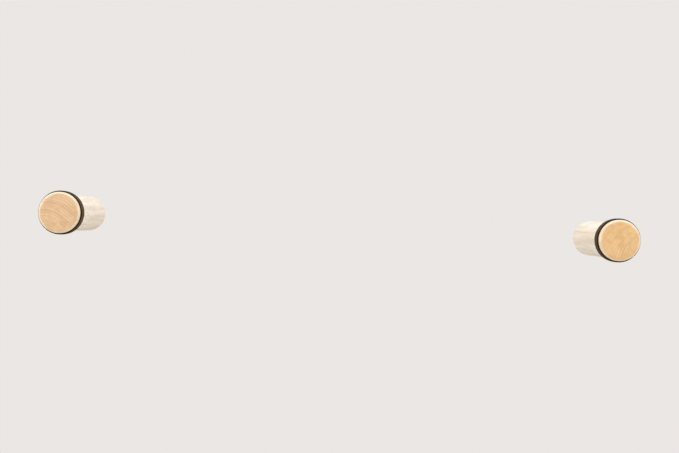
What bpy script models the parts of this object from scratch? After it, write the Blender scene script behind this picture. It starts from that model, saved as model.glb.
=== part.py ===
"""Bicycle wall rack: two turned beech pegs that stand straight out of a wall.

A bicycle hangs by its top tube, which lies on a leather sleeve just behind
the head of each peg.  Each peg is a shaft with a glued-on head, and it screws
onto a hanger bolt that is held in the wall by a nylon plug.

Frame: metres, +Z up.  The wall's surface is the plane y = 0, the pegs stand
out along -Y, and +X is to the right of someone who faces the wall.  The
origin lies on the wall, midway between the two pegs' axes.

Each peg is modelled about its own axis, with local +Z pointing out of the
wall, and an empty on the wall turns and places it.
"""

import math

import bmesh
import bpy

# ---------------------------------------------------------------- dimensions
PEG_SPACING = 0.460  # between the two pegs' axes, along the wall
PEG_STEP = 0.023  # the left peg is this much higher than the right one
PROJECTION = 0.255  # from the wall to the front of the head

HEAD_R = 0.0170
HEAD_LENGTH = 0.0100
HEAD_ROUND = 0.0030  # radius of the turned front edge
HEAD_CROWN = 0.0005  # how far the face's centre stands proud of its rim

SHAFT_R = 0.0155
SHAFT_CHAMFER = 0.0010
TOUCH = 0.0003  # gap left between two pieces that touch

SLEEVE_T = 0.0024  # thickness of the leather
SLEEVE_WIDTH = 0.0220
SLEEVE_EDGE = 0.0008  # burnished edge of the leather

DOWEL_R = 0.0050
DOWEL_IN_HEAD = 0.0060
DOWEL_IN_SHAFT = 0.0300

BOLT_R = 0.0047  # M10 thread, taken as a plain bar
BOLT_IN_PEG = 0.0520
BOLT_IN_WALL = 0.0600
BOLT_TAPER = 0.0120  # pointed end of the wood thread

INSERT_R = 0.0078
INSERT_LENGTH = 0.0250
INSERT_RECESS = 0.0010  # below the shaft's wall face

PLUG_R = 0.0070
PLUG_LENGTH = 0.0700
PLUG_BORE_R = 0.0051
PLUG_MOUTH = 0.0100  # plain collar at the mouth
PLUG_TEETH = 6
PLUG_TOOTH = 0.0007  # depth of a tooth
PLUG_TIP = 0.0100
PLUG_SLOT = 0.0012  # width of the slots that let it spread

ROUND = 56  # steps round a peg
SMALL = 32  # steps round a fixing


# --------------------------------------------------------------------- setup
for old in list(bpy.data.objects):
    bpy.data.objects.remove(old, do_unlink=True)

rack = bpy.data.collections.new("bicycle_wall_rack")
bpy.context.scene.collection.children.link(rack)
cutters = bpy.data.collections.new("cutters")
bpy.context.scene.collection.children.link(cutters)


def material(name, colour, roughness, metallic=0.0):
    mat = bpy.data.materials.new(name)
    mat.use_nodes = True
    bsdf = mat.node_tree.nodes["Principled BSDF"]
    bsdf.inputs["Base Color"].default_value = (*colour, 1.0)
    bsdf.inputs["Roughness"].default_value = roughness
    bsdf.inputs["Metallic"].default_value = metallic
    mat.diffuse_color = (*colour, 1.0)
    return mat


BEECH_HEAD = material("beech_head", (0.84, 0.56, 0.32), 0.48)
BEECH_SHAFT = material("beech_shaft", (0.88, 0.76, 0.58), 0.50)
BEECH_DOWEL = material("beech_dowel", (0.80, 0.62, 0.42), 0.60)
LEATHER = material("brown_leather", (0.085, 0.050, 0.028), 0.55)
ZINC = material("zinc_steel", (0.62, 0.63, 0.66), 0.32, 1.0)
BRASS = material("brass", (0.80, 0.60, 0.28), 0.34, 1.0)
NYLON = material("grey_nylon", (0.50, 0.51, 0.52), 0.50)


def arc(cr, cz, radius, start, stop, steps):
    """Points (r, z) of an arc about (cr, cz), from start to stop degrees."""
    points = []
    for i in range(steps + 1):
        a = math.radians(start + (stop - start) * i / steps)
        points.append((cr + radius * math.cos(a), cz + radius * math.sin(a)))
    return points


def turned(name, profile, steps, mat, parent, closed=False):
    """A turned piece: (r, z) points spun about local Z.

    The profile runs down the outer side, from the front end to the wall end.
    """
    mesh = bpy.data.meshes.new(name)
    bm = bmesh.new()
    verts = [bm.verts.new((r, 0.0, z)) for r, z in profile]
    for a, b in zip(verts, verts[1:]):
        bm.edges.new((a, b))
    if closed:
        bm.edges.new((verts[-1], verts[0]))
    bm.to_mesh(mesh)
    bm.free()
    mesh.materials.append(mat)
    obj = bpy.data.objects.new(name, mesh)
    rack.objects.link(obj)
    obj.parent = parent
    screw = obj.modifiers.new("turn", "SCREW")
    screw.axis = "Z"
    screw.angle = math.tau
    screw.steps = steps
    screw.render_steps = steps
    screw.use_merge_vertices = True
    screw.merge_threshold = 0.00001
    screw.use_smooth_shade = True
    return obj


def slot_cutter(name, size, centre, parent):
    """A box that cuts a slot; it is left out of the model."""
    mesh = bpy.data.meshes.new(name)
    bm = bmesh.new()
    bmesh.ops.create_cube(bm, size=1.0)
    bmesh.ops.scale(bm, vec=size, verts=bm.verts)
    bmesh.ops.translate(bm, vec=centre, verts=bm.verts)
    bm.to_mesh(mesh)
    bm.free()
    obj = bpy.data.objects.new(name, mesh)
    cutters.objects.link(obj)
    obj.parent = parent
    obj.display_type = "WIRE"
    obj.hide_render = True
    return obj


def cut(obj, cutter):
    boolean = obj.modifiers.new("cut_" + cutter.name, "BOOLEAN")
    boolean.operation = "DIFFERENCE"
    boolean.solver = "EXACT"
    boolean.object = cutter


# ------------------------------------------------------------------ profiles
def head_profile():
    """A thick disc with a rounded front edge and a dowel hole in its back."""
    front = PROJECTION
    back = PROJECTION - HEAD_LENGTH
    flat = HEAD_R - HEAD_ROUND
    rim = front - HEAD_CROWN
    crown = []
    for i in range(4):
        t = i / 4
        crown.append((flat * t, front - HEAD_CROWN * t * t))
    edge = arc(flat, rim - HEAD_ROUND, HEAD_ROUND, 90, 0, 7)
    rear = arc(HEAD_R - 0.0010, back + 0.0010, 0.0010, 0, -90, 3)
    hole = DOWEL_R + TOUCH
    depth = back + DOWEL_IN_HEAD + TOUCH
    return crown + edge + rear + [(hole, back), (hole, depth), (0.0, depth)]


def shaft_profile():
    """A straight bar with a dowel hole in front and the insert's hole behind."""
    front = PROJECTION - HEAD_LENGTH - TOUCH
    c = SHAFT_CHAMFER
    dowel = DOWEL_R + TOUCH
    dowel_end = front - DOWEL_IN_SHAFT - TOUCH
    insert = INSERT_R + TOUCH
    insert_end = INSERT_RECESS + INSERT_LENGTH + TOUCH
    bolt = BOLT_R + 2 * TOUCH
    bolt_end = BOLT_IN_PEG + 0.0040
    outer = [
        (SHAFT_R - c, front),
        (SHAFT_R, front - c),
        (SHAFT_R, front - SLEEVE_WIDTH),
        (SHAFT_R, front * 0.5),
        (SHAFT_R, 4 * c),
        (SHAFT_R, c),
        (SHAFT_R - 0.3 * c, 0.3 * c),
        (SHAFT_R - c, 0.0),
    ]
    return (
        [(0.0, dowel_end), (dowel, dowel_end), (dowel, front)]
        + outer
        + [
            (insert, 0.0),
            (insert, insert_end),
            (bolt, insert_end),
            (bolt, bolt_end),
            (0.0, bolt_end),
        ]
    )


def sleeve_profile():
    """A band of thick leather with rounded, burnished edges."""
    inner = SHAFT_R + TOUCH
    outer = inner + SLEEVE_T
    top = PROJECTION - HEAD_LENGTH - 2 * TOUCH
    bottom = top - SLEEVE_WIDTH
    e = SLEEVE_EDGE
    points = arc(outer - e, top - e, e, 90, 0, 4)
    points += [(outer, (top + bottom) / 2)]
    points += arc(outer - e, bottom + e, e, 0, -90, 4)
    points += [(inner, bottom), (inner, top)]
    return points


def dowel_profile():
    """A beech dowel with chamfered ends, glued into the head and the shaft."""
    joint = PROJECTION - HEAD_LENGTH
    top = joint + DOWEL_IN_HEAD
    bottom = joint - DOWEL_IN_SHAFT
    c = 0.0008
    return [
        (0.0, top),
        (DOWEL_R - c, top),
        (DOWEL_R, top - c),
        (DOWEL_R, bottom + c),
        (DOWEL_R - c, bottom),
        (0.0, bottom),
    ]


def insert_profile():
    """A threaded insert, set in the shaft's wall end."""
    bottom = INSERT_RECESS
    top = bottom + INSERT_LENGTH
    bore = BOLT_R + TOUCH
    c = 0.0006
    return [
        (bore, top),
        (INSERT_R - 2 * c, top),
        (INSERT_R, top - 2 * c),
        (INSERT_R, bottom + c),
        (INSERT_R - c, bottom),
        (bore + c, bottom),
        (bore, bottom + c),
    ]


def bolt_profile():
    """A hanger bolt: machine thread in the peg, wood thread in the plug."""
    top = BOLT_IN_PEG
    bottom = -BOLT_IN_WALL
    c = 0.0010
    return [
        (0.0, top),
        (BOLT_R - c, top),
        (BOLT_R, top - c),
        (BOLT_R, bottom + BOLT_TAPER),
        (0.0012, bottom + 0.0006),
        (0.0006, bottom),
        (0.0, bottom),
    ]


def plug_profile():
    """A nylon wall plug: plain mouth, saw teeth, tapered tip, open bore."""
    top = -TOUCH
    bottom = top - PLUG_LENGTH
    teeth_top = top - PLUG_MOUTH
    teeth_bottom = bottom + PLUG_TIP
    pitch = (teeth_top - teeth_bottom) / PLUG_TEETH
    points = [(PLUG_BORE_R + 0.0005, top), (PLUG_R - 0.0004, top), (PLUG_R, top - 0.0004)]
    for i in range(PLUG_TEETH):
        z = teeth_top - i * pitch
        points += [(PLUG_R, z), (PLUG_R - PLUG_TOOTH, z - 0.0006)]
    points += [(PLUG_R, teeth_bottom), (PLUG_R - 0.0022, bottom + 0.0008), (PLUG_R - 0.0028, bottom)]
    narrow = 0.0024
    points += [
        (narrow, bottom),
        (narrow, bottom + 0.0060),
        (PLUG_BORE_R, bottom + 0.0200),
        (PLUG_BORE_R, top - 0.0005),
    ]
    return points


# ---------------------------------------------------------------- the pieces
def build_peg(side, x, z):
    """One peg with its fixings, about an empty on the wall."""
    base = bpy.data.objects.new(side + "_peg", None)
    base.empty_display_size = 0.03
    base.location = (x, 0.0, z)
    base.rotation_euler = (math.pi / 2, 0.0, 0.0)
    rack.objects.link(base)

    turned(side + "_peg_head", head_profile(), ROUND, BEECH_HEAD, base)
    turned(side + "_peg_shaft", shaft_profile(), ROUND, BEECH_SHAFT, base)
    turned(side + "_leather_sleeve", sleeve_profile(), ROUND, LEATHER, base, closed=True)
    turned(side + "_head_dowel", dowel_profile(), SMALL, BEECH_DOWEL, base)
    turned(side + "_threaded_insert", insert_profile(), SMALL, BRASS, base, closed=True)
    turned(side + "_hanger_bolt", bolt_profile(), SMALL, ZINC, base)

    plug = turned(side + "_wall_plug", plug_profile(), SMALL, NYLON, base, closed=True)
    start = -TOUCH - PLUG_MOUTH - 0.0030
    end = -TOUCH - PLUG_LENGTH + 0.0040
    length = start - end
    middle = (start + end) / 2
    cut(plug, slot_cutter(side + "_slot_a", (0.03, PLUG_SLOT, length), (0.0, 0.0, middle), base))
    cut(plug, slot_cutter(side + "_slot_b", (PLUG_SLOT, 0.03, length), (0.0, 0.0, middle), base))


build_peg("left", -PEG_SPACING / 2, PEG_STEP / 2)
build_peg("right", PEG_SPACING / 2, -PEG_STEP / 2)
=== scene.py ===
import math

import bmesh
import bpy
import numpy as np
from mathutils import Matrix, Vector


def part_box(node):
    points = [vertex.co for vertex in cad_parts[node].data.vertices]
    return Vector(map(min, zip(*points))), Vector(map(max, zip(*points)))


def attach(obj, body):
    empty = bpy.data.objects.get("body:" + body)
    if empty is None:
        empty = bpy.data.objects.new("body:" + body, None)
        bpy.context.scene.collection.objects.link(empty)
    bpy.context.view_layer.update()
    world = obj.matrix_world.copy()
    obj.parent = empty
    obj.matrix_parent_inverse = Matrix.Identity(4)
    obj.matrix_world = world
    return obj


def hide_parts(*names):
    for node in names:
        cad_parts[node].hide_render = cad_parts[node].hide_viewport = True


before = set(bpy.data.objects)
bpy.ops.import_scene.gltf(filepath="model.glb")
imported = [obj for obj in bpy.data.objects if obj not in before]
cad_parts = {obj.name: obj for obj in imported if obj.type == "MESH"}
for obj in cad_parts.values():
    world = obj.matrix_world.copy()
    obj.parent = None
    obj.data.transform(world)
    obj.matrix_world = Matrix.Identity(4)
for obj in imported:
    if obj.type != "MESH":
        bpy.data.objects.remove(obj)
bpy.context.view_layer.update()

MM = 0.001
SIDES = ("left", "right")
collection = bpy.context.scene.collection


# ------------------------------------------------------------------ the frame
def centre_of(node):
    lo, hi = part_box(node)
    return (lo + hi) / 2


def span(node):
    """(near, far) distances of a node from the wall, which is the plane y = 0."""
    lo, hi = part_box(node)
    return -hi.y, -lo.y


def radius_of(node):
    lo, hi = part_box(node)
    return (hi.x - lo.x) / 2


# ------------------------------------------------------------- node materials
class Tree:
    """A short way to write a node tree."""

    def __init__(self, name):
        self.mat = bpy.data.materials.new(name)
        self.mat.use_nodes = True
        self.nt = self.mat.node_tree
        self.bsdf = self.nt.nodes["Principled BSDF"]

    def node(self, kind, **settings):
        n = self.nt.nodes.new(kind)
        for key, value in settings.items():
            setattr(n, key, value)
        return n

    def put(self, socket, value):
        if isinstance(value, bpy.types.NodeSocket):
            self.nt.links.new(value, socket)
        else:
            socket.default_value = value

    def math(self, op, a, b=None, c=None, clamp=False):
        n = self.node("ShaderNodeMath", operation=op, use_clamp=clamp)
        for i, value in enumerate((a, b, c)):
            if value is not None:
                self.put(n.inputs[i], value)
        return n.outputs[0]

    def vec(self, op, a, b=None, scale=None):
        n = self.node("ShaderNodeVectorMath", operation=op)
        self.put(n.inputs[0], a)
        if b is not None:
            self.put(n.inputs[1], b)
        if scale is not None:
            self.put(n.inputs[3], scale)
        return n.outputs["Value"] if op in ("LENGTH", "DOT_PRODUCT", "DISTANCE") else n.outputs[0]

    def local(self, x, z, size=1000.0):
        """Millimetres from a point on the wall: x along it, z up, y out of the room."""
        coord = self.node("ShaderNodeTexCoord").outputs["Object"]
        moved = self.vec("SUBTRACT", coord, (x, 0.0, z))
        return self.vec("SCALE", moved, scale=size)

    def split(self, v):
        n = self.node("ShaderNodeSeparateXYZ")
        self.put(n.inputs[0], v)
        return n.outputs

    def join(self, x, y, z):
        n = self.node("ShaderNodeCombineXYZ")
        for i, value in enumerate((x, y, z)):
            self.put(n.inputs[i], value)
        return n.outputs[0]

    def noise(self, v, scale, detail=3.0, rough=0.55, distortion=0.0, colour=False):
        n = self.node("ShaderNodeTexNoise")
        self.put(n.inputs["Vector"], v)
        n.inputs["Scale"].default_value = scale
        n.inputs["Detail"].default_value = detail
        n.inputs["Roughness"].default_value = rough
        n.inputs["Distortion"].default_value = distortion
        return n.outputs["Color" if colour else "Fac"]

    def voronoi(self, v, scale, feature="F1", out="Distance", randomness=1.0):
        n = self.node("ShaderNodeTexVoronoi", feature=feature)
        self.put(n.inputs["Vector"], v)
        n.inputs["Scale"].default_value = scale
        n.inputs["Randomness"].default_value = randomness
        return n.outputs[out]

    def ramp(self, value, stops, mode="LINEAR"):
        n = self.node("ShaderNodeValToRGB")
        n.color_ramp.interpolation = mode
        elements = n.color_ramp.elements
        while len(elements) < len(stops):
            elements.new(0.5)
        for element, (at, colour) in zip(elements, stops):
            element.position = at
            element.color = (colour, colour, colour, 1) if isinstance(colour, float) else (*colour, 1)
        self.put(n.inputs[0], value)
        return n.outputs[0]

    def smooth(self, value, low, high, to_low=0.0, to_high=1.0):
        n = self.node("ShaderNodeMapRange", interpolation_type="SMOOTHSTEP")
        for i, v in enumerate((value, low, high, to_low, to_high)):
            self.put(n.inputs[i], v)
        return n.outputs[0]

    def mix(self, factor, a, b, blend="MIX"):
        n = self.node("ShaderNodeMix", data_type="RGBA", blend_type=blend)
        n.clamp_factor = True
        self.put(n.inputs[0], factor)
        self.put(n.inputs[6], a if isinstance(a, bpy.types.NodeSocket) else (*a, 1))
        self.put(n.inputs[7], b if isinstance(b, bpy.types.NodeSocket) else (*b, 1))
        return n.outputs[2]

    def bump(self, height, distance, strength=1.0, normal=None):
        n = self.node("ShaderNodeBump")
        n.inputs["Strength"].default_value = strength
        n.inputs["Distance"].default_value = distance
        self.put(n.inputs["Height"], height)
        if normal is not None:
            self.put(n.inputs["Normal"], normal)
        return n.outputs[0]

    def finish(self, **sockets):
        for key, value in sockets.items():
            self.put(self.bsdf.inputs[key.replace("_", " ")], value)
        return self.mat


def wood(name, x, z, pith, spacing, light, dark, end_light, end_dark, seed, figure=1.0, wear_and_rim_highlight=0.0):
    """Beech: growth rings about a pith that lies outside the peg, fibres, flecks and pores.

    Where the surface faces along the peg it is end grain, which takes more oil
    and is warmer and darker; a turned edge runs from one to the other.
    """
    t = Tree(name)
    p = t.local(x, z)
    moved = t.vec("ADD", p, (seed * 37.0, seed * 91.0, seed * 53.0))
    # rings
    slow = t.vec("MULTIPLY", moved, (0.030, 0.008, 0.030))
    warp = t.vec("SUBTRACT", t.noise(slow, 1.0, 2.0, 0.5, colour=True), (0.5, 0.5, 0.5))
    bent = t.vec("ADD", p, t.vec("MULTIPLY", warp, (9.0, 0.0, 9.0)))
    s = t.split(bent)
    lean = t.math("MULTIPLY", s[1], 0.022)
    dx = t.math("ADD", t.math("SUBTRACT", s[0], pith[0]), lean)
    dz = t.math("SUBTRACT", s[2], pith[1])
    dist = t.vec("LENGTH", t.join(dx, 0.0, dz))
    wander = t.noise(t.join(t.math("MULTIPLY", dist, 0.30), seed * 3.1, 0.0), 1.0, 2.0, 0.5)
    phase = t.math("ADD", t.math("DIVIDE", dist, spacing), t.math("MULTIPLY", wander, 1.6))
    ring = t.ramp(
        t.math("FRACT", phase),
        [(0.0, 0.05), (0.45, 0.18), (0.72, 0.55), (0.90, 1.0), (0.965, 0.75), (1.0, 0.05)],
        "B_SPLINE",
    )
    # each ring has its own strength
    each = t.noise(t.join(t.math("FLOOR", phase), seed * 5.7, 0.3), 1.7, 0.0)
    ring = t.math("MULTIPLY", ring, t.smooth(each, 0.30, 0.70, 0.40, 1.0))
    # fibres run along the peg
    fibre = t.noise(t.vec("MULTIPLY", moved, (2.6, 0.035, 2.6)), 1.0, 6.0, 0.62)
    hair = t.noise(t.vec("MULTIPLY", moved, (7.5, 0.16, 7.5)), 1.0, 3.0, 0.6)
    # broad streaks of slightly different colour, 5 to 10 mm wide and as long as a hand
    streak = t.noise(t.vec("MULTIPLY", moved, (0.19, 0.0052, 0.19)), 1.0, 3.0, 0.58)
    # short dark flecks, which are the ends of the rays
    cell = t.vec("MULTIPLY", moved, (1.25, 0.30, 1.25))
    fleck = t.smooth(t.voronoi(cell, 1.0), 0.10, 0.24, 1.0, 0.0)
    some = t.smooth(t.noise(t.vec("MULTIPLY", moved, (0.11, 0.04, 0.11)), 1.0, 2.0), 0.42, 0.62)
    fleck = t.math("MULTIPLY", fleck, t.math("ADD", t.math("MULTIPLY", some, 0.75), 0.25))
    # end grain: pores and rays
    pore = t.smooth(t.voronoi(t.vec("MULTIPLY", moved, (3.4, 0.06, 3.4)), 1.0), 0.12, 0.34, 1.0, 0.0)
    angle = t.math("ARCTAN2", dz, dx)
    ray = t.noise(
        t.join(t.math("MULTIPLY", angle, 46.0), t.math("MULTIPLY", dist, 0.10), seed * 1.9), 1.0, 3.0, 0.7
    )
    ray = t.smooth(ray, 0.52, 0.72)
    blotch = t.noise(t.vec("MULTIPLY", moved, (0.075, 0.020, 0.075)), 1.0, 3.0, 0.55)

    normal = t.node("ShaderNodeNewGeometry").outputs["Normal"]
    facing = t.math("ABSOLUTE", t.split(normal)[1])
    # the oil goes in less evenly over the turned edge than on the sawn face
    uneven = t.math("MULTIPLY", t.math("SUBTRACT", fibre, 0.5), 0.16)
    end = t.smooth(t.math("ADD", facing, uneven), 0.62, 1.0)

    side = t.mix(t.math("MULTIPLY", ring, 0.78 * figure), light, dark)
    side = t.mix(t.smooth(streak, 0.36, 0.66, 0.0, 0.62 * figure), side, [c * 0.94 for c in dark])
    side = t.mix(t.smooth(fibre, 0.32, 0.76, 0.0, 0.42), side, [c * 0.82 for c in dark])
    side = t.mix(t.smooth(hair, 0.45, 0.80, 0.0, 0.16), side, [c * 0.70 for c in dark])
    side = t.mix(t.math("MULTIPLY", fleck, 0.60), side, (dark[0] * 0.62, dark[1] * 0.48, dark[2] * 0.36))
    grain = t.mix(t.math("MULTIPLY", ring, 0.85), end_light, end_dark)
    grain = t.mix(t.math("MULTIPLY", pore, 0.30), grain, [c * 0.62 for c in end_dark])
    grain = t.mix(t.math("MULTIPLY", ray, 0.30), grain, [min(1.0, c * 1.12) for c in end_light])
    # the sawn face has drunk the oil in soft patches
    drunk = t.noise(t.vec("MULTIPLY", moved, (0.17, 0.02, 0.17)), 1.0, 2.0, 0.5, 0.4)
    grain = t.mix(t.smooth(drunk, 0.40, 0.66, 0.0, 0.42), grain, [c * 1.06 for c in end_dark])
    colour = t.mix(end, side, grain)
    colour = t.mix(
        t.smooth(blotch, 0.35, 0.68, 0.0, 0.20), colour, t.mix(0.5, colour, end_dark), "MIX"
    )
    rough = t.math("ADD", t.math("MULTIPLY", fibre, 0.18), t.math("MULTIPLY", blotch, 0.16))
    rough = t.math("ADD", rough, 0.34)
    if wear_and_rim_highlight:
        # hands have worn the turned edge a little smoother, in soft patches, and it is painted paler there: partly
        # wear, partly a painted highlight on the rounded rim
        edge = t.math("MULTIPLY", t.smooth(facing, 0.10, 0.60), t.smooth(facing, 0.70, 0.995, 1.0, 0.0))
        patch = t.smooth(t.noise(t.vec("SCALE", moved, scale=0.16), 1.0, 3.0, 0.5), 0.30, 0.75)
        rim_highlight_and_wear = t.math("MULTIPLY", t.math("MULTIPLY", edge, patch), wear_and_rim_highlight)
        colour = t.mix(rim_highlight_and_wear, colour, [min(1.0, c * 1.03) for c in light])
        rough = t.math("SUBTRACT", rough, t.math("MULTIPLY", rim_highlight_and_wear, 0.12))
        # and have left a few small dents in it
        dent = t.smooth(t.voronoi(t.vec("SCALE", moved, scale=0.145), 1.0), 0.045, 0.105, 1.0, 0.0)
    height = t.math("ADD", t.math("MULTIPLY", fibre, 0.55), t.math("MULTIPLY", hair, 0.25))
    height = t.math("SUBTRACT", height, t.math("MULTIPLY", fleck, 0.45))
    height_end = t.math("SUBTRACT", t.math("MULTIPLY", ring, 0.35), t.math("MULTIPLY", pore, 0.75))
    both = t.math("ADD", height, t.math("MULTIPLY", t.math("SUBTRACT", height_end, height), end))
    if wear_and_rim_highlight:
        both = t.math("SUBTRACT", both, t.math("MULTIPLY", dent, 1.6))
    return t.finish(
        Base_Color=colour,
        Roughness=rough,
        Normal=t.bump(both, 0.00012, 0.55),
        Specular_IOR_Level=0.36,
    )


def leather(name, x, z, near, far, radius, seam, dye_and_shade):
    """Waxed brown leather: fine pebbled grain with painted shade in its creases, pores, pull-up patches, dyed edges
    darkened further by painted shade, a rubbed top, and an overall darkening that is partly painted shade.
    """
    t = Tree(name)
    p = t.local(x, z)
    s = t.split(p)
    depth = t.math("MULTIPLY", s[1], -1.0)
    middle, half = (near + far) / 2 / MM, (far - near) / 2 / MM
    off = t.math("ABSOLUTE", t.math("SUBTRACT", depth, middle))
    warp = t.vec("SUBTRACT", t.noise(p, 0.45, 3.0, colour=True), (0.5, 0.5, 0.5))
    q = t.vec("ADD", p, t.vec("SCALE", warp, scale=1.6))
    # the grain is fine in some places and broader in others
    pebble = t.smooth(t.voronoi(q, 1.55, "DISTANCE_TO_EDGE"), 0.0, 0.20)
    fine = t.smooth(t.voronoi(q, 3.3, "DISTANCE_TO_EDGE"), 0.0, 0.20)
    where = t.smooth(t.noise(p, 0.26, 2.0, 0.5), 0.38, 0.62)
    grain = t.math("ADD", t.math("MULTIPLY", pebble, t.math("SUBTRACT", 1.0, t.math("MULTIPLY", where, 0.75))),
                   t.math("MULTIPLY", fine, t.math("MULTIPLY", where, 0.75)))
    pore = t.smooth(t.voronoi(t.vec("ADD", q, (31.0, 7.0, 19.0)), 1.25), 0.07, 0.15, 1.0, 0.0)
    hair = t.noise(p, 6.5, 3.0, 0.6)
    patch = t.noise(p, 0.14, 4.0, 0.58, 0.8)
    tone = t.mix(t.smooth(patch, 0.33, 0.70), (0.047, 0.0225, 0.0078), (0.120, 0.0590, 0.0215))
    tone = t.mix(t.smooth(t.noise(p, 0.70, 3.0, 0.6), 0.42, 0.78, 0.0, 0.40), tone, (0.142, 0.0740, 0.0300))
    # painted shade in the creases between the pebbles of the grain
    tone = t.mix(t.math("MULTIPLY", t.math("SUBTRACT", 1.0, grain), 0.32), tone, (0.028, 0.013, 0.0060))
    tone = t.mix(t.math("MULTIPLY", pore, 0.60), tone, (0.018, 0.009, 0.005))
    # the dyed edges at both ends of the strip, painted darker still: painted shade where the strip meets the head
    # and the shaft
    edge = t.smooth(off, half - 1.7, half - 0.35)
    tone = t.mix(t.math("MULTIPLY", edge, 0.88), tone, (0.030, 0.0130, 0.0042))
    top = t.smooth(s[2], radius / MM * 0.80, radius / MM * 0.99)
    rest = t.math("MULTIPLY", top, t.smooth(off, 2.5, 8.5, 1.0, 0.0))
    scuff = t.smooth(t.noise(t.vec("MULTIPLY", p, (0.25, 1.9, 0.6)), 1.0, 4.0, 0.65), 0.40, 0.66)
    tone = t.mix(t.math("MULTIPLY", t.math("MULTIPLY", rest, scuff), 0.60), tone, (0.200, 0.112, 0.050))
    # the hide is bent hardest beside the seam, where the wax pulls up paler
    along = t.math("ADD", t.math("MULTIPLY", s[0], math.cos(seam)), t.math("MULTIPLY", s[2], math.sin(seam)))
    bent = t.smooth(along, radius / MM * 0.955, radius / MM * 0.995)
    tone = t.mix(t.math("MULTIPLY", bent, 0.35), tone, (0.160, 0.085, 0.034))
    # darkens the whole strip towards near-black, partly dye and partly painted shade; the right sleeve gets more of
    # it, painted shade on a copy of the same leather
    tone = t.mix(dye_and_shade, tone, (0.016, 0.0070, 0.0025))
    rough = t.math("ADD", t.math("MULTIPLY", t.math("SUBTRACT", 1.0, grain), 0.12), 0.62)
    rough = t.math("ADD", rough, t.math("MULTIPLY", patch, 0.16))
    rough = t.math("SUBTRACT", rough, t.math("MULTIPLY", edge, 0.10))
    rough = t.math("SUBTRACT", rough, t.math("MULTIPLY", rest, 0.14))
    height = t.math("ADD", t.math("MULTIPLY", grain, 0.75), t.math("MULTIPLY", hair, 0.16))
    height = t.math("SUBTRACT", height, t.math("MULTIPLY", pore, 0.60))
    calm = t.math("SUBTRACT", 1.0, t.math("MULTIPLY", t.math("MAXIMUM", edge, rest), 0.65))
    height = t.math("MULTIPLY", height, calm)
    return t.finish(
        Base_Color=tone,
        Roughness=rough,
        Normal=t.bump(height, 0.00014, 0.75),
        Specular_IOR_Level=0.09,
    )


def thread_material(name, x, z):
    t = Tree(name)
    p = t.local(x, z)
    strand = t.noise(t.vec("MULTIPLY", p, (6.0, 6.0, 6.0)), 1.0, 4.0, 0.6)
    wax = t.noise(p, 0.9, 3.0, 0.6)
    colour = t.mix(strand, (0.300, 0.195, 0.105), (0.560, 0.410, 0.250))
    colour = t.mix(t.smooth(wax, 0.45, 0.75, 0.0, 0.5), colour, (0.140, 0.086, 0.046))
    rough = t.math("ADD", t.math("MULTIPLY", strand, 0.20), 0.50)
    return t.finish(
        Base_Color=colour, Roughness=rough, Normal=t.bump(strand, 0.00008, 0.7), Specular_IOR_Level=0.30
    )


def metal(name, x, z, low, high, rough, streak=(1.6, 0.05, 1.6)):
    """Turned metal: cloudy plating, fine rings of the tool, a few scratches."""
    t = Tree(name)
    p = t.local(x, z)
    cloud = t.noise(p, 0.35, 4.0, 0.6)
    line = t.noise(t.vec("MULTIPLY", p, (0.25, 9.0, 0.25)), 1.0, 3.0, 0.7)
    scratch = t.smooth(t.noise(t.vec("MULTIPLY", p, streak), 1.0, 5.0, 0.7), 0.58, 0.70)
    colour = t.mix(cloud, low, high)
    colour = t.mix(t.math("MULTIPLY", scratch, 0.30), colour, [min(1.0, c * 1.15) for c in high])
    r = t.math("ADD", t.math("MULTIPLY", cloud, 0.16), rough)
    r = t.math("ADD", r, t.math("MULTIPLY", line, 0.10))
    height = t.math("ADD", t.math("MULTIPLY", line, 0.6), t.math("MULTIPLY", scratch, -0.4))
    return t.finish(Base_Color=colour, Metallic=1.0, Roughness=r, Normal=t.bump(height, 0.00003, 0.5))


def nylon(name, x, z):
    """Moulded grey nylon: slight mottling, a matt spark-eroded skin, drag marks along it."""
    t = Tree(name)
    p = t.local(x, z)
    mottle = t.noise(p, 0.20, 4.0, 0.6)
    skin = t.noise(p, 7.0, 3.0, 0.6)
    drag = t.noise(t.vec("MULTIPLY", p, (3.0, 0.10, 3.0)), 1.0, 4.0, 0.6)
    colour = t.mix(mottle, (0.375, 0.385, 0.395), (0.475, 0.485, 0.490))
    colour = t.mix(t.smooth(drag, 0.52, 0.76, 0.0, 0.35), colour, (0.570, 0.575, 0.575))
    rough = t.math("ADD", t.math("MULTIPLY", skin, 0.16), 0.42)
    height = t.math("ADD", t.math("MULTIPLY", skin, 0.6), t.math("MULTIPLY", drag, 0.4))
    return t.finish(
        Base_Color=colour,
        Roughness=rough,
        Normal=t.bump(height, 0.00005, 0.6),
        Subsurface_Weight=0.10,
        Subsurface_Radius=(0.0012, 0.0012, 0.0012),
    )


# ------------------------------------------------------------------- geometry
def piece(name, verts, faces, mat, slot, *nodes, sharp=32.0):
    mesh = bpy.data.meshes.new(name)
    mesh.from_pydata([tuple(v) for v in verts], [], [tuple(f) for f in faces])
    mesh.validate()
    mesh.materials.append(mat)
    mesh.shade_smooth()
    mesh.set_sharp_from_angle(angle=math.radians(sharp))
    obj = bpy.data.objects.new(name, mesh)
    collection.objects.link(obj)
    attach(obj, "root")
    if nodes:
        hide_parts(*nodes)
    return obj


def rings_to_mesh(rings):
    """Closed surface through rings of points; a ring of one point is a pole."""
    verts, faces, start = [], [], []
    for ring in rings:
        start.append(len(verts))
        verts.extend(ring)
    for a, b in zip(range(len(rings) - 1), range(1, len(rings))):
        na, nb = len(rings[a]), len(rings[b])
        n = max(na, nb)
        for j in range(n):
            k = (j + 1) % n
            if na == 1:
                faces.append((start[a], start[b] + j, start[b] + k))
            elif nb == 1:
                faces.append((start[a] + j, start[b], start[a] + k))
            else:
                faces.append((start[a] + j, start[b] + j, start[b] + k, start[a] + k))
    return verts, faces


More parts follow.
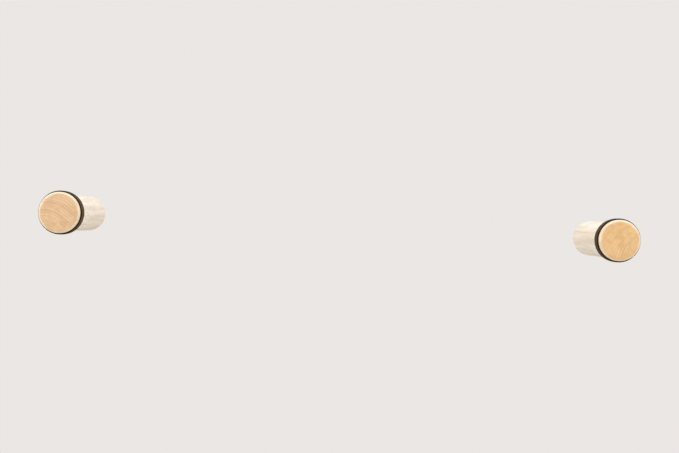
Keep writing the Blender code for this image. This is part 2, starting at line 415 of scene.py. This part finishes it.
def turned(x, z, profile, steps, wobble=None, closed=False):
    """Rings about a peg's axis. profile: (radius, distance from the wall), outer side down."""
    angle = np.arange(steps) * math.tau / steps
    rings = []
    for r, h in profile:
        if r < 1e-7:
            rings.append([(x, -h, z)])
            continue
        rr = np.full(steps, r)
        hh = np.full(steps, h)
        if wobble:
            dr, dh = wobble(angle, r, h)
            rr, hh = rr + dr, hh + dh
        rings.append(
            list(zip((x + rr * np.cos(angle)).tolist(), (-hh).tolist(), (z + rr * np.sin(angle)).tolist()))
        )
    verts, faces = rings_to_mesh(rings)
    if closed:
        last = sum(len(r) for r in rings[:-1])
        for j in range(steps):
            k = (j + 1) % steps
            faces.append((last + j, j, k, last + k))
    return verts, faces


def arc(cr, ch, radius, start, stop, steps):
    return [
        (
            cr + radius * math.cos(math.radians(start + (stop - start) * i / steps)),
            ch + radius * math.sin(math.radians(start + (stop - start) * i / steps)),
        )
        for i in range(steps + 1)
    ]


def line(a, b, steps):
    """Points from a to b, without a."""
    return [(a[0] + (b[0] - a[0]) * i / steps, a[1] + (b[1] - a[1]) * i / steps) for i in range(1, steps + 1)]


def hand(seed, amount):
    """The slight unevenness of a piece sanded on a lathe: low, long waves."""
    def wobble(angle, r, h):
        dr = (
            np.sin(2 * angle + seed + 7.0 * h) * 0.35
            + np.sin(3 * angle + 2.1 * seed - 19.0 * h) * 0.30
            + np.sin(5 * angle + 3.7 * seed + 41.0 * h) * 0.20
            + np.sin(seed + 260.0 * h) * 0.15
        )
        return dr * amount - amount, np.zeros_like(angle)
    return wobble


def saw(x):
    """0 at the root of a thread, 1 at its crest."""
    f = x - np.floor(x)
    return 1.0 - np.abs(2.0 * f - 1.0)


# ---------------------------------------------------------------- the pieces
def head(side, seed, mat):
    node = side + "_peg_head"
    c, (near, far), r = centre_of(node), span(node), radius_of(node)
    crown, edge = 0.5 * MM, 3.0 * MM
    flat = r - edge
    rim = far - crown
    profile = [(flat * i / 18, far - crown * (i / 18) ** 2) for i in range(18)]
    profile += arc(flat, rim - edge, edge, 90, 0, 18)
    profile += line(profile[-1], (r, near + 1.0 * MM), 5)
    profile += arc(r - 1.0 * MM, near + 1.0 * MM, 1.0 * MM, 0, -90, 7)[1:]
    hole, depth = 5.3 * MM, near + 6.3 * MM
    profile += line(profile[-1], (hole + 0.4 * MM, near), 5)
    profile += [(hole, near + 0.4 * MM), (hole, depth), (0.0, depth)]
    verts, faces = turned(c.x, c.z, profile, 168, hand(seed, 0.03 * MM))
    return piece(side + "_head_turned", verts, faces, mat, "beech_head", node)


def shaft(side, seed, mat):
    node = side + "_peg_shaft"
    c, (near, far), r = centre_of(node), span(node), radius_of(node)
    far = span(side + "_peg_head")[0] - 0.02 * MM  # glued up against the head
    ch = 1.0 * MM
    hole, insert, bolt = 5.3 * MM, 8.1 * MM, 5.3 * MM
    profile = [(0.0, far - 30.3 * MM), (hole, far - 30.3 * MM), (hole, far - 0.5 * MM), (hole + 0.5 * MM, far)]
    profile += line(profile[-1], (r - ch, far), 3)
    profile += arc(r - ch, far - ch, ch, 90, 0, 6)[1:]
    profile += line((r, far - ch), (r, near + 1.4 * MM), 60)
    profile += arc(r - 1.2 * MM, near + 1.2 * MM, 1.2 * MM, 0, -90, 8)[1:]
    profile += line(profile[-1], (insert + 0.3 * MM, near), 6)
    profile += [(insert, near + 0.3 * MM), (insert, near + 26.3 * MM), (bolt, near + 26.3 * MM)]
    profile += [(bolt, near + 56.0 * MM), (0.0, near + 56.0 * MM)]
    verts, faces = turned(c.x, c.z, profile, 152, hand(seed, 0.035 * MM))
    return piece(side + "_shaft_turned", verts, faces, mat, "beech_shaft", node)


def strip_profile(half, thick):
    """Section of the leather strip: (height above the wood, place across the width)."""
    e, i = 0.85 * MM, 0.30 * MM
    pts = []
    for k in range(41):  # outer face, front edge to wall edge, crowned a little
        v = (half - e) * (1 - 2 * k / 40)
        pts.append((thick - 0.10 * MM * (v / half) ** 4, v))
    pts += [(thick - 0.10 * MM - e + e * math.cos(a), -half + e - e * math.sin(a)) for a in np.linspace(0.2, math.pi / 2, 7)]
    pts += [(i - i * math.sin(a), -half + i - i * math.cos(a)) for a in np.linspace(0, math.pi / 2, 4)]
    pts += [(0.0, (-half + i) + (2 * half - 2 * i) * k / 12) for k in range(1, 12)]
    pts += [(i - i * math.cos(a), half - i + i * math.sin(a)) for a in np.linspace(0, math.pi / 2, 4)]
    pts += [(thick - 0.10 * MM - e + e * math.sin(a), half - e + e * math.cos(a)) for a in np.linspace(0, math.pi / 2 - 0.2, 7)]
    return np.array(pts)


CHANNEL = 0.80 * MM  # depth of the sewn channel


def smoothstep(t):
    t = min(1.0, max(0.0, t))
    return t * t * (3 - 2 * t)


def seam_angle(side):
    """The seam is on the lower, outer side, where no tube rests."""
    return math.radians(-47 if side == "right" else -133)


def stitch_rows(near, far):
    middle = (near + far) / 2
    return [middle + (k - 2) * 3.8 * MM for k in range(5)]


def sleeve(side, seed, mat):
    """A strip of thick leather bent round the shaft, its two ends meeting in a sewn seam."""
    node = side + "_leather_sleeve"
    c, (near, far), outer = centre_of(node), span(node), radius_of(node)
    inner = radius_of(side + "_peg_shaft") + 0.04 * MM
    thick = outer - inner
    half, middle = (far - near) / 2 + 0.2 * MM, (near + far) / 2 + 0.05 * MM
    section = strip_profile(half, thick)
    centre_u = thick / 2
    at = seam_angle(side)
    gap = 0.22 * MM / outer
    soft = 0.55 * MM / outer  # how much of each end is rounded over
    first, last = at + gap, at + math.tau - gap
    ends = [first + soft * (1 - math.cos(a)) for a in np.linspace(0, math.pi / 2, 7)]
    body = list(np.linspace(first + soft, last - soft, 250))[1:-1]
    angles = ends + body + [2 * (at + math.pi) - a for a in reversed(ends)]
    rows = stitch_rows(near, far)
    rings = []
    for a in angles:
        from_end = min(a - first, last - a)
        inset = 0.0
        if from_end < soft:
            inset = 0.45 * MM * (1 - math.sqrt(max(0.0, 1 - (1 - from_end / soft) ** 2)))
        u = section[:, 0].copy()
        v = section[:, 1].copy()
        # rounded ends shrink towards the middle of the section
        k_u = 1 - inset / (thick / 2)
        u = centre_u + (u - centre_u) * k_u
        v = v * (1 - inset / half)
        face = np.clip((u - 0.5 * thick) / (0.5 * thick), 0, 1)
        # the hide's own unevenness
        wave = (
            np.sin(3 * a + seed + 210 * v) * 0.4
            + np.sin(7 * a - 1.7 * seed - 390 * v) * 0.3
            + np.sin(11 * a + 2.9 * seed + 640 * v) * 0.2
            + np.sin(19 * a + 4.3 * seed) * 0.1
        )
        u = u + face * wave * 0.05 * MM - face * 0.05 * MM
        v = v + np.sign(v) * (np.abs(v) / half) ** 6 * 0.10 * MM * (
            math.sin(2 * a + seed) + 0.6 * math.sin(5 * a + 2.3 * seed) - 1.2
        )
        # the stitches lie in a shallow channel, which stops short of both edges
        channel = smoothstep(1 - (from_end * outer) / (5.5 * MM))
        inside = np.clip((half - 0.9 * MM - np.abs(v)) / (1.9 * MM), 0, 1)
        u = u - face * CHANNEL * channel * inside * inside * (3 - 2 * inside)
        # a tube has rested here: a shallow saddle pressed into the top
        top = math.exp(-(((a - math.pi / 2) / 0.36) ** 2))
        u = u - face * 0.26 * MM * top * np.exp(-((v / (5.2 * MM)) ** 2))
        # the thread pulls the leather down where it goes in
        arc_mm = from_end * outer
        for h in rows:
            pull = np.exp(-(((v + middle - h) / (0.8 * MM)) ** 2)) * math.exp(-(((arc_mm - 2.5 * MM) / (0.8 * MM)) ** 2))
            u = u - face * 0.30 * MM * pull
        lift = 0.10 * MM * math.exp(-((arc_mm / (1.6 * MM)) ** 2))
        u = u + face * lift * 0.5
        rr = inner + u
        hh = middle + v
        rings.append(
            list(
                zip(
                    (c.x + rr * math.cos(a)).tolist(),
                    (-hh).tolist(),
                    (c.z + rr * math.sin(a)).tolist(),
                )
            )
        )
    verts, faces = rings_to_mesh(rings)
    n = len(section)
    for start in (0, len(verts) - n):
        loop = verts[start:start + n]
        hub = len(verts)
        verts.append(tuple(sum(v[k] for v in loop) / n for k in range(3)))
        faces += [(start + j, start + (j + 1) % n, hub) for j in range(n)]
    obj = piece(side + "_sleeve_strip", verts, faces, mat, "brown_leather", node, sharp=50)
    return outward(obj)


def outward(obj):
    """Turns every face outward."""
    bm = bmesh.new()
    bm.from_mesh(obj.data)
    bmesh.ops.recalc_face_normals(bm, faces=bm.faces)
    bm.to_mesh(obj.data)
    bm.free()
    return obj


def cord_rings(points, radius, sides, turns, depth=0.18):
    """A two-ply thread along points: a tube whose section is waisted and turns."""
    pts = [Vector(p) for p in points]
    rings = []
    up = Vector((0, 1, 0))
    total = 0.0
    for i, p in enumerate(pts):
        ahead = pts[min(i + 1, len(pts) - 1)] - pts[max(i - 1, 0)]
        ahead.normalize()
        across = ahead.cross(up)
        if across.length < 1e-6:
            across = Vector((1, 0, 0))
        across.normalize()
        over = across.cross(ahead)
        if i:
            total += (p - pts[i - 1]).length
        ring = []
        squeeze = 1.0 if 0 < i < len(pts) - 1 else 0.55
        for k in range(sides):
            a = math.tau * k / sides
            r = radius * squeeze * (1 - depth + depth * math.cos(2 * (a - turns * total)))
            ring.append(tuple(p + across * (r * math.cos(a)) + over * (r * math.sin(a))))
        rings.append(ring)
    return [[tuple(pts[0])]] + rings + [[tuple(pts[-1])]]


def stitching(side, mat):
    """Waxed thread crossed over the sleeve's seam, a row of crosses with a bar at each end."""
    node = side + "_leather_sleeve"
    c, (near, far), outer = centre_of(node), span(node), radius_of(node)
    at = seam_angle(side)
    reach = 2.6 * MM / outer
    rows = stitch_rows(near, far)
    radius = 0.30 * MM
    bed = outer - CHANNEL

    def path(h0, s0, h1, s1, extra, deeper):
        points = []
        for k in range(19):
            t = k / 18
            a = at + reach * (s0 + (s1 - s0) * t)
            h = h0 + (h1 - h0) * t
            rise = math.sin(math.pi * t)
            dive = (0.85 * MM + deeper) * (1 - min(1.0, math.sin(math.pi * t) / 0.42)) ** 1.5
            r = bed + 0.16 * MM + extra * rise ** 3 - dive - 0.10 * MM * (1 - rise)
            points.append((c.x + r * math.cos(a), -h, c.z + r * math.sin(a)))
        return points

    verts, faces = [], []
    stitches = []
    for n, (low, high) in enumerate(zip(rows, rows[1:])):
        stitches.append(path(low, -1, high, 1, 0.08 * MM, 0.06 * n * MM))
        stitches.append(path(low, 1, high, -1, 0.47 * MM, (0.06 * n + 0.03) * MM))
    stitches.append(path(rows[0], -1, rows[0], 1, 0.08 * MM, 0.27 * MM))
    stitches.append(path(rows[-1], -1, rows[-1], 1, 0.08 * MM, 0.30 * MM))
    for points in stitches:
        v, f = rings_to_mesh(cord_rings(points, radius, 12, 5200.0))
        start = len(verts)
        verts += v
        faces += [tuple(i + start for i in face) for face in f]
    obj = piece(side + "_sleeve_stitching", verts, faces, mat, "brown_leather", sharp=70)
    return outward(obj)


def bolt(side, mat):
    """Hanger bolt: rolled M10 thread in the peg, plain waist, coarse wood thread in the plug."""
    node = side + "_hanger_bolt"
    c, (near, far), r = centre_of(node), span(node), radius_of(node)
    r_full = r
    steps = 48
    angle = np.arange(steps) * math.tau / steps
    rings = [[(c.x, -far, c.z)]]
    levels = list(np.arange(far, 3.0 * MM, -0.1875 * MM)) + list(np.arange(3.0 * MM, -6.0 * MM, -0.5 * MM))
    levels += list(np.arange(-6.0 * MM, near, -0.30 * MM)) + [near + 0.02 * MM]
    for h in levels:
        if h > 2.5 * MM:
            fade = min(1.0, (far - h) / (1.6 * MM)) * min(1.0, (h - 2.5 * MM) / (2.0 * MM))
            core = r_full - 0.92 * MM
            base = r_full if fade <= 0 else core + (r_full - core) * (1 - fade)
            tip = max(0.0, 1 - (far - h) / (1.2 * MM))
            tooth = np.clip(saw(h / (1.5 * MM) - angle / math.tau) * 1.25, 0, 1)
            rr = core * (1 - 0.16 * tip) + (r_full - core) * (tooth * (1 - tip) * 1.0)
            rr = np.where(h < 4.5 * MM, rr * fade + (r_full - 0.45 * MM) * (1 - fade), rr)
            base = rr
        elif h > -6.0 * MM:
            base = np.full(steps, r_full - 0.45 * MM)
        else:
            grow = min(1.0, (-6.0 * MM - h) / (3.0 * MM))
            point = min(1.0, max(0.0, (h - near) / (12.0 * MM)))
            core = (r_full - 1.45 * MM) * (0.25 + 0.75 * point ** 0.8)
            crest = r_full * (0.18 + 0.82 * point ** 0.8)
            f = h / (4.0 * MM) - angle / math.tau
            tooth = np.clip(1 - np.abs((f - np.floor(f)) - 0.5) / 0.20, 0, 1)
            rr = core + (crest - core) * tooth
            base = rr * grow + (r_full - 0.45 * MM) * (1 - grow)
        base = np.minimum(np.broadcast_to(base, (steps,)), r_full)
        rings.append(
            list(
                zip(
                    (c.x + base * np.cos(angle)).tolist(),
                    [-float(h)] * steps,
                    (c.z + base * np.sin(angle)).tolist(),
                )
            )
        )
    rings.append([(c.x, -near, c.z)])
    verts, faces = rings_to_mesh(rings)
    return outward(piece(side + "_bolt_threaded", verts, faces, mat, "zinc_steel", node, sharp=40))


def insert(side, mat):
    """Screw-in insert: deep coarse thread outside, machine thread inside, a bevelled mouth."""
    node = side + "_threaded_insert"
    c, (near, far), r = centre_of(node), span(node), radius_of(node)
    bore = radius_of(side + "_hanger_bolt") + 0.15 * MM
    steps = 72
    angle = np.arange(steps) * math.tau / steps
    rings = []

    def ring(rr, h):
        rr = np.broadcast_to(rr, (steps,))
        rings.append(
            list(zip((c.x + rr * np.cos(angle)).tolist(), [-float(h)] * steps, (c.z + rr * np.sin(angle)).tolist()))
        )

    for h in np.arange(far, near, -0.30 * MM):
        fade = min(1.0, (far - h) / (3.0 * MM)) * min(1.0, (h - near) / (1.5 * MM))
        f = h / (4.0 * MM) - angle / math.tau
        tooth = np.clip(1 - np.abs((f - np.floor(f)) - 0.5) / 0.24, 0, 1)
        ring((r - 1.5 * MM) + 1.5 * MM * tooth * fade, h)
    ring(r - 1.5 * MM, near + 0.3 * MM)
    ring(r - 1.8 * MM, near)
    ring(bore + 0.7 * MM, near)
    for h in np.arange(near + 0.7 * MM, far, 0.25 * MM):
        ring(bore + 0.12 * MM - 0.12 * MM * saw(h / (1.5 * MM) - angle / math.tau), h)
    ring(bore + 0.3 * MM, far)
    n = steps
    verts, faces = rings_to_mesh(rings)
    last = len(verts) - n
    for j in range(n):
        k = (j + 1) % n
        faces.append((last + j, j, k, last + k))
    return outward(piece(side + "_insert_threaded", verts, faces, mat, "brass", node, sharp=40))


def plug(side, mat):
    """Nylon plug: plain mouth, saw-tooth rings, four legs parted by two slots, tapered tip."""
    node = side + "_wall_plug"
    c, (near, far), r = centre_of(node), span(node), radius_of(node)
    bore, narrow = 5.1 * MM, 2.4 * MM
    top, bottom = far, near
    profile = [(bore + 0.5 * MM, top)]
    profile += line(profile[-1], (r - 0.5 * MM, top), 2)
    profile += arc(r - 0.5 * MM, top - 0.5 * MM, 0.5 * MM, 90, 0, 5)[1:]
    teeth_top, teeth_bottom = top - 10 * MM, bottom + 10 * MM
    pitch = (teeth_top - teeth_bottom) / 6
    for i in range(6):
        h = teeth_top - i * pitch
        step = [(r - 0.08 * MM, h + 0.05 * MM), (r - 0.30 * MM, h - 0.12 * MM), (r - 0.72 * MM, h - 0.45 * MM), (r - 0.78 * MM, h - 0.8 * MM)]
        profile += line(profile[-1], (r, h + 0.3 * MM), 3) + step
    profile += line(profile[-1], (r, teeth_bottom + 0.3 * MM), 3)
    profile += [(r - 0.12 * MM, teeth_bottom - 0.3 * MM)]
    profile += line(profile[-1], (r - 2.0 * MM, bottom + 1.2 * MM), 5)
    profile += arc(r - 2.9 * MM, bottom + 0.9 * MM, 0.9 * MM, -5, -80, 4)
    profile += [(narrow + 0.2 * MM, bottom), (narrow, bottom + 0.3 * MM), (narrow, bottom + 6 * MM)]
    profile += line(profile[-1], (bore, bottom + 20 * MM), 4)
    profile += line(profile[-1], (bore, top - 0.5 * MM), 4)
    verts, faces = turned(c.x, c.z, profile, 96, None, closed=True)
    obj = outward(piece(side + "_plug_moulded", verts, faces, mat, "grey_nylon", node, sharp=30))
    start, end = top - 13 * MM, bottom + 4 * MM
    for k, size in enumerate(((30 * MM, start - end, 1.2 * MM), (1.2 * MM, start - end, 30 * MM))):
        box = bpy.data.meshes.new("slot")
        bm = bmesh.new()
        bmesh.ops.create_cube(bm, size=1.0)
        bmesh.ops.scale(bm, vec=size, verts=bm.verts)
        bmesh.ops.translate(bm, vec=(c.x, -(start + end) / 2, c.z), verts=bm.verts)
        bm.to_mesh(box)
        bm.free()
        cutter = bpy.data.objects.new(f"{side}_slot_cutter_{k}", box)
        collection.objects.link(cutter)
        cut = obj.modifiers.new("slot", "BOOLEAN")
        cut.operation = "DIFFERENCE"
        cut.solver = "EXACT"
        cut.object = cutter
        bpy.context.view_layer.update()
        made = bpy.data.meshes.new_from_object(obj.evaluated_get(bpy.context.evaluated_depsgraph_get()))
        obj.modifiers.remove(cut)
        obj.data = made
        bpy.data.objects.remove(cutter)
    bm = bmesh.new()
    bm.from_mesh(obj.data)
    bmesh.ops.remove_doubles(bm, verts=bm.verts, dist=0.004 * MM)
    bmesh.ops.triangulate(bm, faces=bm.faces)
    bmesh.ops.dissolve_degenerate(bm, edges=bm.edges, dist=0.004 * MM)
    bmesh.ops.triangulate(bm, faces=bm.faces)
    bm.to_mesh(obj.data)
    bm.free()
    obj.data.shade_smooth()
    obj.data.set_sharp_from_angle(angle=math.radians(30))
    return obj


def dowel(side, seed, mat):
    """Fluted beech dowel; the flutes let the glue escape."""
    node = side + "_head_dowel"
    c, (near, far), r = centre_of(node), span(node), radius_of(node)
    ch = 0.8 * MM
    profile = [(0.0, far), (r - ch, far)] + line((r - ch, far), (r, far - ch), 3)
    profile += line((r, far - ch), (r, near + ch), 16) + line((r, near + ch), (r - ch, near), 3) + [(0.0, near)]

    def flutes(angle, rr, h):
        deep = 0.28 * MM if near + ch < h < far - ch else 0.1 * MM
        return -deep * (0.5 + 0.5 * np.cos(20 * angle)) ** 3, np.zeros_like(angle)

    verts, faces = turned(c.x, c.z, profile, 160, flutes)
    return piece(side + "_dowel_fluted", verts, faces, mat, "beech_dowel", node)


def check_order(obj):
    """Fails early if a surface came out inside out."""
    bm = bmesh.new()
    bm.from_mesh(obj.data)
    volume = bm.calc_volume(signed=True)
    open_edges = sum(1 for e in bm.edges if not e.is_manifold)
    bm.free()
    if volume < 0 or open_edges:
        raise RuntimeError(f"{obj.name}: volume {volume}, {open_edges} open edges")


for index, side in enumerate(SIDES):
    c = centre_of(side + "_peg_shaft")
    near, far = span(side + "_leather_sleeve")
    outer = radius_of(side + "_leather_sleeve")
    pith = ((-21.0, -34.0), (27.0, -25.0))[index]
    seed = (1.0, 2.6)[index]
    head_wood = wood(
        side + "_beech_head", c.x, c.z, pith, (2.3, 2.0)[index],
        light=(0.91, 0.79, 0.60), dark=(0.76, 0.58, 0.38),
        end_light=((0.825, 0.585, 0.360), (0.850, 0.578, 0.295))[index],
        end_dark=((0.575, 0.332, 0.168), (0.600, 0.330, 0.128))[index],
        seed=seed, wear_and_rim_highlight=0.55,
    )
    shaft_wood = wood(
        side + "_beech_shaft", c.x, c.z, (pith[1], pith[0]), 3.1,
        light=(0.925, 0.878, 0.782), dark=(0.700, 0.572, 0.428),
        end_light=(0.80, 0.62, 0.42), end_dark=(0.61, 0.42, 0.24),
        seed=seed + 7.0, figure=1.22,
    )
    dowel_wood = wood(
        side + "_beech_dowel", c.x, c.z, (9.0, 14.0), 1.9,
        light=(0.80, 0.63, 0.43), dark=(0.66, 0.47, 0.29),
        end_light=(0.74, 0.52, 0.31), end_dark=(0.55, 0.35, 0.18),
        seed=seed + 13.0,
    )
    # the right sleeve's leather is painted darker than the left's, a painted shade
    hide = leather(side + "_leather", c.x, c.z, near, far, outer, seam_angle(side), (0.08, 0.30)[index])
    waxed = thread_material(side + "_waxed_thread", c.x, c.z)
    zinc = metal(side + "_zinc", c.x, c.z, (0.50, 0.52, 0.56), (0.72, 0.73, 0.74), 0.24)
    brass = metal(side + "_brass", c.x, c.z, (0.66, 0.45, 0.19), (0.86, 0.66, 0.34), 0.24)
    grey = nylon(side + "_nylon", c.x, c.z)

    made = [
        head(side, seed, head_wood),
        shaft(side, seed + 2.0, shaft_wood),
        sleeve(side, seed, hide),
        stitching(side, waxed),
        dowel(side, seed, dowel_wood),
        bolt(side, zinc),
        insert(side, brass),
        plug(side, grey),
    ]
    for obj in made:
        check_order(obj)


# ------------------------------------------------- floor, light and the camera
HORIZON = (0.83, 0.80, 0.775)
OVERHEAD = (1.12, 1.11, 1.09)


def pale_floor(radius):
    """A plain pale floor that fades into the backdrop towards its rim."""
    t = Tree("pale_floor")
    coord = t.node("ShaderNodeTexCoord").outputs["Object"]
    cloud = t.noise(coord, 0.7, 3.0)
    tint = t.mix(cloud, (0.605, 0.588, 0.572), (0.620, 0.603, 0.587))
    t.finish(Base_Color=tint, Roughness=0.85, Specular_IOR_Level=0.2)
    glow = t.node("ShaderNodeEmission")
    glow.inputs["Color"].default_value = (*HORIZON, 1)
    blend = t.node("ShaderNodeMixShader")
    t.put(blend.inputs[0], t.smooth(t.vec("LENGTH", coord), radius * 0.42, radius * 0.97))
    t.put(blend.inputs[1], t.bsdf.outputs[0])
    t.put(blend.inputs[2], glow.outputs[0])
    t.put(t.nt.nodes["Material Output"].inputs["Surface"], blend.outputs[0])
    t.mat.cycles.emission_sampling = "NONE"
    return t.mat


FLOOR_RADIUS = 7.5
bpy.ops.mesh.primitive_circle_add(vertices=160, radius=FLOOR_RADIUS, fill_type="NGON", location=(0, 0, -1.25))
floor = bpy.context.object
floor.name = "floor"
floor.data.materials.append(pale_floor(FLOOR_RADIUS))

# an even pale backdrop all round, lighter overhead
world = bpy.data.worlds.new("studio")
bpy.context.scene.world = world
world.use_nodes = True
nodes, links = world.node_tree.nodes, world.node_tree.links
coord = nodes.new("ShaderNodeTexCoord")
parts = nodes.new("ShaderNodeSeparateXYZ")
rise = nodes.new("ShaderNodeMapRange")
rise.interpolation_type = "SMOOTHSTEP"
rise.inputs["From Min"].default_value = 0.15
rise.inputs["From Max"].default_value = 0.85
blend = nodes.new("ShaderNodeMix")
blend.data_type = "RGBA"
blend.inputs[6].default_value = (*HORIZON, 1)
blend.inputs[7].default_value = (*OVERHEAD, 1)
links.new(coord.outputs["Generated"], parts.inputs[0])
links.new(parts.outputs["Z"], rise.inputs["Value"])
links.new(rise.outputs[0], blend.inputs[0])
background = nodes["Background"]
links.new(blend.outputs[2], background.inputs["Color"])
background.inputs["Strength"].default_value = 1.0


def softbox(name, place, target, size, power, colour=(1.0, 0.985, 0.96)):
    data = bpy.data.lights.new(name, "AREA")
    data.shape = "RECTANGLE"
    data.size, data.size_y = size
    data.energy = power
    data.color = colour
    lamp = bpy.data.objects.new(name, data)
    lamp.location = place
    lamp.rotation_euler = (Vector(target) - Vector(place)).to_track_quat("-Z", "Y").to_euler()
    collection.objects.link(lamp)
    return lamp


softbox("window_above", (-0.7, -1.0, 2.3), (0, -0.12, 0), (2.2, 1.8), 12)
softbox("window_left", (-2.4, -1.1, 0.6), (0, -0.12, 0), (1.8, 1.6), 20)
softbox("fill_right", (2.2, -1.0, 0.8), (0, -0.12, 0), (1.6, 1.6), 18)
softbox("back_low", (0.5, 2.0, 1.1), (0, 0.0, 0), (1.6, 1.2), 5)

camera_data = bpy.data.cameras.new("camera")
camera = bpy.data.objects.new("camera", camera_data)
collection.objects.link(camera)
bpy.context.scene.camera = camera
# straight on to the wall, level with the pegs, 2.11 m in front of their heads
STAND_OFF = 2.109
FRAME_WIDTH = 0.556  # what the picture spans at the heads
face_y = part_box("left_peg_head")[0].y
eye = Vector((-0.003, face_y - STAND_OFF, 0.004))
aim = Vector((0.0, face_y, 0.0))
camera.location = eye
camera.rotation_euler = (aim - eye).to_track_quat("-Z", "Y").to_euler()
camera_data.sensor_width = 36.0
camera_data.lens = 36.0 * STAND_OFF / FRAME_WIDTH
camera_data.clip_start, camera_data.clip_end = 0.05, 60.0

bpy.context.scene.view_settings.view_transform = "Standard"
bpy.context.scene.view_settings.look = "None"
